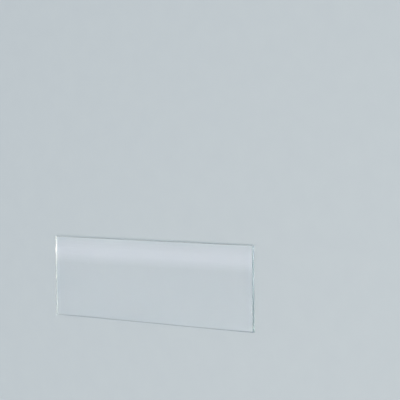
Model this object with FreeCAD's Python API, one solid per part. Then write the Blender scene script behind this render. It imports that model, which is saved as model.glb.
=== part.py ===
import FreeCAD, Part

import os

# Microscope slide: one plain plate of clear glass with cut edges, 76 x 26 x 1 mm.
# Millimetres. +X runs along the slide, +Y across it and +Z out of the face that was scored.
# The origin is on the face that the slide lies on, under the middle of its outline.
#
# A slide is one tile of a glass sheet. Each cut is scored in the top face and then snapped open, and its
# edges stay as they broke, neither ground nor polished. From top to bottom such an edge has
#   - the bevel, which is its half of the score's groove,
#   - the break, a flat face square to the sheet,
#   - the curl, where the break turned aside just before it came out through the bottom face.
# Parallel cuts curl the same way, so of each two opposite edges one ends in a rolled-in corner and the other
# in the lip that fitted under it. The corners stay sharp, where one cut crosses the other.

# the plate
slide_length = 76.0
slide_width = 26.0
slide_thickness = 1.0

# the score's half groove: how far it reaches in over the top face, and how deep
score_reach = 0.05
score_depth = 0.09

# the curl: how far aside the break went, and over how much of the thickness
curl_reach = 0.03
curl_height = 0.24

# how far the sheet goes on past the cuts that cross a strip
sheet_margin = 2.0


def break_line(edge_x, inward):
    """One cut seen end on, from the top face down to the bottom one, as Part edges in the XZ plane.

    edge_x is the plane of the break, and inward is +1 or -1, the side of it that has the glass."""
    rim = FreeCAD.Vector(edge_x + inward * score_reach, 0, slide_thickness)
    break_top = FreeCAD.Vector(edge_x, 0, slide_thickness - score_depth)
    break_foot = FreeCAD.Vector(edge_x, 0, curl_height)
    toe = FreeCAD.Vector(edge_x + curl_reach, 0, 0)
    # the arc leaves the break without a kink, so its centre is level with break_foot
    radius = (curl_height**2 + curl_reach**2) / (2 * curl_reach)
    centre = break_foot + FreeCAD.Vector(radius, 0, 0)
    to_middle = (break_foot - centre).normalize() + (toe - centre).normalize()
    middle = centre + to_middle.normalize() * radius
    return [
        Part.LineSegment(rim, break_top).toShape(),
        Part.LineSegment(break_top, break_foot).toShape(),
        Part.Arc(break_foot, middle, toe).toShape(),
    ]


def strip(size, run):
    """What two parallel cuts leave of the sheet: size across in X, and run long in Y."""
    left = break_line(-size / 2, 1)
    right = break_line(size / 2 - curl_reach, -1)
    bottom = Part.LineSegment(left[-1].Vertexes[-1].Point, right[-1].Vertexes[-1].Point).toShape()
    top = Part.LineSegment(right[0].Vertexes[0].Point, left[0].Vertexes[0].Point).toShape()
    outline = Part.Wire(Part.sortEdges(left + [bottom] + right + [top])[0])
    outline.translate(FreeCAD.Vector(0, -run / 2, 0))
    return Part.Face(outline).extrude(FreeCAD.Vector(0, run, 0))


def glass_slide():
    """The tile that a strip cut to the slide's length and one cut to its width have in common."""
    cut_to_length = strip(slide_length, slide_width + 2 * sheet_margin)
    cut_to_width = strip(slide_width, slide_length + 2 * sheet_margin)
    cut_to_width.rotate(FreeCAD.Vector(0, 0, 0), FreeCAD.Vector(0, 0, 1), 90)
    return cut_to_length.common(cut_to_width).Solids[0]


os.makedirs("parts", exist_ok=True)
glass_slide().exportStep("parts/glass_slide.step")
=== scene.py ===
import math
import random

import bpy
from mathutils import Matrix, Vector, noise


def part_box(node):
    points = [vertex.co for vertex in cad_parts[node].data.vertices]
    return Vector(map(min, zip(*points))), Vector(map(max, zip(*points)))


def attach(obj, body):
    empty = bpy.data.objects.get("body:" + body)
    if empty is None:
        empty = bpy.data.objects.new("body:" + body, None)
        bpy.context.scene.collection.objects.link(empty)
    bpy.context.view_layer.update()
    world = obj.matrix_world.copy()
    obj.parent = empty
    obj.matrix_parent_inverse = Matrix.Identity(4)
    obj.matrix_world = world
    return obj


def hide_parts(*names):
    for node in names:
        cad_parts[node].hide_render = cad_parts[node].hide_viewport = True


# A plain microscope slide of clear glass, lying on a pale table under soft studio light.
# The mesh stands for the CAD plate and keeps its outline. It adds what the cutting left on the edges: the
# torn score, its ribs and flakes, the sway of the break and the lip.
# Sizes are in millimetres until they go into Blender, which is in metres.

MM = 0.001

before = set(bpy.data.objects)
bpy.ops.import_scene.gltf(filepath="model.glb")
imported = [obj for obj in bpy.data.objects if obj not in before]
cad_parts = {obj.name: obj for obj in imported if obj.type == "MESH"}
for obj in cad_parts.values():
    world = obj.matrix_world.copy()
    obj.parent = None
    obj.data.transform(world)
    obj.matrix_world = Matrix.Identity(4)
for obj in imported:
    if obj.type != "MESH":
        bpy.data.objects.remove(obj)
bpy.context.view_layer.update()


# ---------------------------------------------------------------------------------------------------------
# sizes


# the plate's box, from the frame
low, high = (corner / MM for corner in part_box("glass_slide"))
slide_length = high.x - low.x
slide_width = high.y - low.y
slide_thickness = high.z - low.z

# the cut edge, as the CAD plate has it
score_reach = 0.05
score_depth = 0.09
curl_reach = 0.03
curl_height = 0.24

# how the plate's faces are divided into cells, and the cut edge all round them into finer steps
cells_along = 38
cells_across = 13
steps_per_cell = 24
steps_along = cells_along * steps_per_cell
steps_across = cells_across * steps_per_cell
ring_size = 2 * (steps_along + steps_across)

# what the wheel and the break left, as depths into the glass
score_tear = 0.019
rib_depth = 0.004
sway_depth = 0.002
lip_nick = 0.002

# the ribs: their spacing, how far down they reach, how far along the cut they run for each millimetre down,
# and how much the spacing strays, in radians of their wave
rib_pitch = 0.45
rib_zone = 0.16
rib_slant = 1.6
rib_stray = 2.5

# the flakes beside the score: the gaps between them, half their lengths, and how far they bite into the face
flake_gap = (1.2, 5.0)
flake_half_length = (0.10, 0.38)
flake_bite = (0.02, 0.07)

# the score's foot: how far it wanders up and down, how far it dips for each millimetre of a flake's bite,
# and how near to a corner both die out
foot_wander = 0.05 * score_depth
foot_dip = 0.6
corner_fade = 0.6


# ---------------------------------------------------------------------------------------------------------
# small helpers


def linear(hex_colour, alpha=1.0):
    """An sRGB hex colour as Blender's linear RGBA."""
    values = [int(hex_colour[i:i + 2], 16) / 255 for i in (0, 2, 4)]
    return [v / 12.92 if v <= 0.04045 else ((v + 0.055) / 1.055) ** 2.4 for v in values] + [alpha]


def add_node(tree, kind, settings=None, inputs=None, links=None):
    """Adds one node. links maps an input's name to the socket that feeds it."""
    node = tree.nodes.new(kind)
    for name, value in (settings or {}).items():
        setattr(node, name, value)
    for name, value in (inputs or {}).items():
        node.inputs[name].default_value = value
    for name, socket in (links or {}).items():
        tree.links.new(socket, node.inputs[name])
    return node


def new_material(name):
    """An empty node material, and its output node."""
    material = bpy.data.materials.new(name)
    material.use_nodes = True
    material.node_tree.nodes.clear()
    return material, add_node(material.node_tree, "ShaderNodeOutputMaterial")


# ---------------------------------------------------------------------------------------------------------
# the cut edge


class Cut:
    """One snapped edge of the plate: the break's plane, the side of it with glass, and what is torn from it.

    Distances along it are counted from its low end, and what it returns is a coordinate across it."""

    def __init__(self, number, plane, inward, length):
        self.number = number
        self.plane = plane
        self.inward = inward
        self.length = length
        draw = random.Random(number)
        self.flakes = []
        place = draw.uniform(*flake_gap)
        while place < length:
            self.flakes.append((place, draw.uniform(*flake_half_length), draw.uniform(*flake_bite)))
            place += draw.uniform(*flake_gap)

    def ripple(self, run, size, height=0.0, layer=0.0):
        """Smooth noise from -1 to 1 along the cut, with waves about size long.

        Each cut and each layer has noise of its own."""
        return noise.noise((run / size, height + 7.3 * self.number, layer))

    def flake(self, run):
        """How deep the shell-shaped flakes beside the score bite here."""
        bites = [bite * math.sqrt(1 - ((run - place) / half) ** 2)
                 for place, half, bite in self.flakes if abs(run - place) < half]
        return max(bites, default=0.0)

    def tear(self, run):
        """How far the score's rim is torn back here, from nothing to about twice score_tear."""
        coarse = 0.6 * self.ripple(run, size=0.8, layer=1.0)
        fine = 0.4 * self.ripple(run, size=0.17, layer=2.0)
        return score_tear * (1 + coarse + fine)

    def ribs(self, run, depth):
        """The slanting ribs that follow the score down into the break and die out."""
        turns = 2 * math.pi * (run - rib_slant * depth) / rib_pitch
        wave = math.sin(turns + rib_stray * self.ripple(run, size=5.0, layer=3.0))
        fading = math.exp(-((depth - score_depth) / rib_zone) ** 2)
        strength = fading * (1 + self.ripple(run, size=3.0, layer=4.0))
        return rib_depth * strength * (1 + wave)

    def sway(self, run, height):
        """The slow sway of the break out of its plane."""
        slow = 0.7 * self.ripple(run, size=9.0, height=height / 1.5, layer=5.0)
        quick = 0.3 * self.ripple(run, size=2.2, height=height / 0.8, layer=6.0)
        return sway_depth * (1 + slow + quick)

    def across(self, run, level):
        """Where the cut's surface stands at this level."""
        depth = slide_thickness - level["height"]
        torn = level["score"] * (score_reach + self.tear(run) + self.flake(run))
        broken = self.ribs(run, depth) + self.sway(run, level["height"])
        nicked = level["toe"] * lip_nick * (1 + self.ripple(run, size=0.5, layer=8.0))
        below_rim = level["score"] < 1
        return self.plane + level["aside"] + self.inward * (torn + below_rim * broken + nicked)

    def height(self, run, level):
        """How high the level runs here: the score's foot wanders, and dips under the flakes."""
        fade = min(1.0, run / corner_fade, (self.length - run) / corner_fade)
        stray = foot_wander * self.ripple(run, size=0.9, layer=9.0) - foot_dip * self.flake(run)
        return level["height"] + level["foot"] * max(fade, 0.0) * stray


def edge_levels():
    """The cut edge from the rim on the top face down to the toe on the bottom one.

    Each level has its height, its shares of the score's bevel, of its foot and of the toe, and how far aside
    the curl has carried it."""

    def level(height, score=0.0, foot=0.0, toe=0.0, aside=0.0):
        return {"height": height, "score": score, "foot": foot, "toe": toe, "aside": aside}

    # the bevel is a little rounded: before it is half way down, it is more than half way out
    rows = [level(slide_thickness, score=1.0),
            level(slide_thickness - 0.45 * score_depth, score=0.4, foot=0.5),
            level(slide_thickness - score_depth, foot=1.0)]
    # the break's levels stand closer near the score, where the ribs are, and soon stop following its foot
    break_height = slide_thickness - score_depth - curl_height
    shares_down = (0.06, 0.13, 0.21, 0.31, 0.43, 0.57, 0.77)
    rows += [level(slide_thickness - score_depth - share * break_height, foot=max(0.0, 0.6 - 4 * share))
             for share in shares_down]
    # the curl is an arc that leaves the break without a kink
    radius = (curl_height ** 2 + curl_reach ** 2) / (2 * curl_reach)
    turn = math.asin(curl_height / radius)
    arc_steps = 4
    for step in range(arc_steps + 1):
        angle = turn * step / arc_steps
        rows.append(level(curl_height - radius * math.sin(angle), toe=float(step == arc_steps),
                          aside=radius * (1 - math.cos(angle))))
    return rows


# ---------------------------------------------------------------------------------------------------------
# the plate


def plate_mesh():
    """The whole slide as one closed mesh: the cut edge all round, and both faces in cells inside it."""
    left = Cut(1, low.x, 1, slide_width)
    right = Cut(2, high.x - curl_reach, -1, slide_width)
    front = Cut(3, low.y, 1, slide_length)
    back = Cut(4, high.y - curl_reach, -1, slide_length)

    def mixed(a, b, share):
        return a + (b - a) * share

    def on_long_edge(cut, end, share, level):
        run = share * slide_length
        x = mixed(left.across(end * slide_width, level), right.across(end * slide_width, level), share)
        return (x, cut.across(run, level), low.z + cut.height(run, level))

    def on_short_edge(cut, end, share, level):
        run = share * slide_width
        y = mixed(front.across(end * slide_length, level), back.across(end * slide_length, level), share)
        return (cut.across(run, level), y, low.z + cut.height(run, level))

    vertices = []
    levels = edge_levels()
    for level in levels:
        vertices += [on_long_edge(front, 0, i / steps_along, level) for i in range(steps_along)]
        vertices += [on_short_edge(right, 1, i / steps_across, level) for i in range(steps_across)]
        vertices += [on_long_edge(back, 1, 1 - i / steps_along, level) for i in range(steps_along)]
        vertices += [on_short_edge(left, 0, 1 - i / steps_across, level) for i in range(steps_across)]

    faces = []
    for row in range(len(levels) - 1):
        upper, lower = row * ring_size, (row + 1) * ring_size
        for i in range(ring_size):
            j = (i + 1) % ring_size
            faces.append((upper + i, lower + i, lower + j, upper + j))

    faces += face_cells(vertices, 0, slide_thickness, False)
    faces += face_cells(vertices, (len(levels) - 1) * ring_size, 0.0, True)

    mesh = bpy.data.meshes.new("clear_slide")
    mesh.from_pydata([Vector(v) * MM for v in vertices], [], faces)
    mesh.validate()
    # the rims stay crisp, and the ribs and the curl are smooth
    sharpest_smooth = math.radians(25)
    mesh.shade_smooth()
    mesh.set_sharp_from_angle(angle=sharpest_smooth)
    return mesh


def face_cells(vertices, ring_start, height, facing_down):
    """The cells of one big face, as vertex lists. The outer cells take in the fine steps of the rim.

    It adds the points inside the face to vertices."""

    def rim_place(i, j):
        """The place round the rim of grid point i, j, which is on the face's border."""
        if j == 0:
            return i * steps_per_cell
        if i == cells_along:
            return steps_along + j * steps_per_cell
        if j == cells_across:
            return steps_along + steps_across + (cells_along - i) * steps_per_cell
        return 2 * steps_along + steps_across + (cells_across - j) * steps_per_cell

    inner = {}
    for j in range(1, cells_across):
        for i in range(1, cells_along):
            inner[i, j] = len(vertices)
            vertices.append((low.x + slide_length * i / cells_along,
                             low.y + slide_width * j / cells_across, low.z + height))

    def side(a, b, on_border):
        """The vertices from grid point a up to b, without b."""
        if on_border:
            start, end = rim_place(*a), rim_place(*b)
            return [ring_start + (start + k) % ring_size for k in range((end - start) % ring_size)]
        return [inner[a] if a in inner else ring_start + rim_place(*a) % ring_size]

    cells = []
    for j in range(cells_across):
        for i in range(cells_along):
            cell = side((i, j), (i + 1, j), j == 0)
            cell += side((i + 1, j), (i + 1, j + 1), i + 1 == cells_along)
            cell += side((i + 1, j + 1), (i, j + 1), j + 1 == cells_across)
            cell += side((i, j + 1), (i, j), i == 0)
            cells.append(cell[::-1] if facing_down else cell)
    return cells


# ---------------------------------------------------------------------------------------------------------
# materials


def clear_soda_lime_glass():
    """Soda-lime glass, drawn in sheets: clear through its thickness, and grey-green only along its length.

    That gives the eye a face seen by its reflections alone, and edges tinted by the long way light takes in
    the plate. Draw waves a few centimetres long make the reflections swim a little."""
    material, output = new_material("clear_soda_lime_glass")
    tree = material.node_tree
    # the draw waves: the real ones are about a micron high, and these are higher, or they wouldn't show
    wave_width = 14
    wave_lengthening = 4
    wave_height = 0.006
    place = add_node(tree, "ShaderNodeTexCoord")
    stretch = add_node(tree, "ShaderNodeMapping", inputs={"Scale": (1 / wave_lengthening, 1, 1)},
                       links={"Vector": place.outputs["Object"]})
    waves = add_node(tree, "ShaderNodeTexNoise", inputs={"Scale": 1 / (wave_width * MM), "Detail": 1.0},
                     links={"Vector": stretch.outputs["Vector"]})
    relief = add_node(tree, "ShaderNodeBump", inputs={"Strength": 1.0, "Distance": wave_height * MM},
                      links={"Height": waves.outputs["Fac"]})
    glass = add_node(tree, "ShaderNodeBsdfPrincipled",
                     inputs={"Base Color": linear("ffffff"), "Roughness": 0.0, "IOR": 1.52,
                             "Transmission Weight": 1.0},
                     links={"Normal": relief.outputs["Normal"]})
    # along the whole slide it takes about a quarter of the red and a seventh of the green and blue
    tint = add_node(tree, "ShaderNodeVolumeAbsorption", inputs={"Color": linear("9acbc7"), "Density": 5.0})
    tree.links.new(glass.outputs["BSDF"], output.inputs["Surface"])
    tree.links.new(tint.outputs["Volume"], output.inputs["Volume"])
    return material


def matt_table_board():
    """A pale blue-grey board with a matt lacquer, which gives an even ground with the faintest grain."""
    material, output = new_material("matt_table_board")
    tree = material.node_tree
    grain_width = 6
    place = add_node(tree, "ShaderNodeTexCoord")
    grain = add_node(tree, "ShaderNodeTexNoise", inputs={"Scale": 1 / (grain_width * MM), "Detail": 3.0},
                     links={"Vector": place.outputs["Object"]})
    colour = add_node(tree, "ShaderNodeValToRGB", links={"Fac": grain.outputs["Fac"]})
    colour.color_ramp.elements[0].color = linear("b5bdc3")
    colour.color_ramp.elements[1].color = linear("b9c1c6")
    board = add_node(tree, "ShaderNodeBsdfPrincipled", inputs={"Roughness": 0.6, "Specular IOR Level": 0.25},
                     links={"Base Color": colour.outputs["Color"]})
    tree.links.new(board.outputs["BSDF"], output.inputs["Surface"])
    return material


# ---------------------------------------------------------------------------------------------------------
# the slide


slide = bpy.data.objects.new("clear_slide", plate_mesh())
bpy.context.scene.collection.objects.link(slide)
slide.data.materials.append(clear_soda_lime_glass())
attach(slide, "root")
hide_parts("glass_slide")


# ---------------------------------------------------------------------------------------------------------
# table, light and camera


def table_top():
    """A round table top under the slide, a hair below it, as dust and air keep two hard faces apart."""
    radius = 6000
    corners = 96
    gap = 0.02
    ring = [(radius * math.cos(2 * math.pi * i / corners), radius * math.sin(2 * math.pi * i / corners),
             low.z - gap) for i in range(corners)]
    mesh = bpy.data.meshes.new("table_top")
    mesh.from_pydata([Vector(v) * MM for v in ring], [], [list(range(corners))])
    mesh.materials.append(matt_table_board())
    table = bpy.data.objects.new("table_top", mesh)
    bpy.context.scene.collection.objects.link(table)


def studio_air():
    """An even pale room, close to the table's colour at eye level and lighter overhead."""
    world = bpy.data.worlds.new("studio_air")
    world.use_nodes = True
    tree = world.node_tree
    tree.nodes.clear()
    way = add_node(tree, "ShaderNodeTexCoord")
    split = add_node(tree, "ShaderNodeSeparateXYZ", links={"Vector": way.outputs["Generated"]})
    rise = add_node(tree, "ShaderNodeMapRange", {"interpolation_type": "SMOOTHSTEP"},
                    inputs={"From Min": 0.0, "From Max": 0.9}, links={"Value": split.outputs["Z"]})
    colour = add_node(tree, "ShaderNodeMix", {"data_type": "RGBA"}, links={"Factor": rise.outputs["Result"]})
    colour.inputs["A"].default_value = linear("a9b1b6")
    colour.inputs["B"].default_value = linear("b2bfcc")
    air = add_node(tree, "ShaderNodeBackground", inputs={"Strength": 1.0},
                   links={"Color": colour.outputs["Result"]})
    output = add_node(tree, "ShaderNodeOutputWorld")
    tree.links.new(air.outputs["Background"], output.inputs["Surface"])
    bpy.context.scene.world = world


def hang(name, light, place, facing, colour):
    """Hangs a light at place, in millimetres, so that it shines against the direction facing."""
    light.color = linear(colour)[:3]
    lamp = bpy.data.objects.new(name, light)
    bpy.context.scene.collection.objects.link(lamp)
    lamp.location = Vector(place) * MM
    lamp.rotation_euler = Vector(facing).to_track_quat("Z", "Y").to_euler()


def softbox(name, place, facing, width, height, watts, colour):
    """A rectangular soft light, its sizes in millimetres."""
    light = bpy.data.lights.new(name, "AREA")
    light.shape = "RECTANGLE"
    light.size = width * MM
    light.size_y = height * MM
    light.energy = watts
    hang(name, light, place, facing, colour)


def lights():
    """Soft lights from beyond the right end and from high on the front side, and dim panels overhead."""
    warm_white = "fff4e4"

    # the small one shines along the slide, and shows in the break of its far end as a line that fades
    along_slide = (784, 27, 784)
    softbox("edge_softbox", along_slide, along_slide, width=250, height=250, watts=2.53, colour=warm_white)

    # the big one stands high up on the front side, and leaves the two long edges as thin grey lines
    over_front = (190, -328, 1042)
    softbox("key_softbox", over_front, over_front, width=600, height=450, watts=3.65, colour=warm_white)

    # a wide soft light far off on the same side lights the whole table evenly
    far_light = bpy.data.lights.new("far_light", "SUN")
    far_light.angle = math.radians(28)
    far_light.energy = 0.85
    hang("far_light", far_light, over_front, over_front, warm_white)

    # the panel overhead makes the whole face a little paler
    up = (0, 0, 1)
    softbox("ceiling_panel", (-650, -60, 950), up, width=900, height=400, watts=0.35, colour="e6eeff")

    # the strips show as a lilac band along the slide: each is wider than the one before and adds to it, so
    # the band's sides are soft
    strips = 4
    watts_per_mm = 0.00065
    for step in range(strips):
        across = 10 + 7 * step
        softbox("ceiling_strip", (-650, -98, 900 + 2 * step), up, width=900, height=across,
                watts=watts_per_mm * across, colour="fbeeff")


def camera():
    """Looks down on the slide from beyond its right end, with its length running away to the left."""
    lens = bpy.data.cameras.new("camera")
    lens.lens = 108
    lens.clip_start = 10 * MM
    lens.clip_end = 20
    eye = bpy.data.objects.new("camera", lens)
    bpy.context.scene.collection.objects.link(eye)
    # from the middle of the upper face: where it stands, and the point on that face's plane it looks at
    top = Vector((0, 0, high.z))
    spot = top + Vector((220.2, 44.7, 304.1))
    aim = top + Vector((19.6, 26.2, 0))
    roll = math.radians(-0.5)
    back = (spot - aim).normalized()
    right = Vector((0, 1, 0)).cross(back).normalized()
    turned = Matrix((right, back.cross(right), back)).transposed().to_4x4()
    eye.matrix_world = Matrix.Translation(spot * MM) @ turned @ Matrix.Rotation(roll, 4, "Z")
    bpy.context.scene.camera = eye


table_top()
studio_air()
lights()
camera()

# light has to find its way through the plate from end to end, which takes many bounces, none of them blurred
most_bounces = 200
light_paths = bpy.context.scene.cycles
light_paths.blur_glossy = 0.0
light_paths.max_bounces = most_bounces
light_paths.glossy_bounces = most_bounces
light_paths.transmission_bounces = most_bounces
bpy.context.scene.view_settings.view_transform = "Standard"
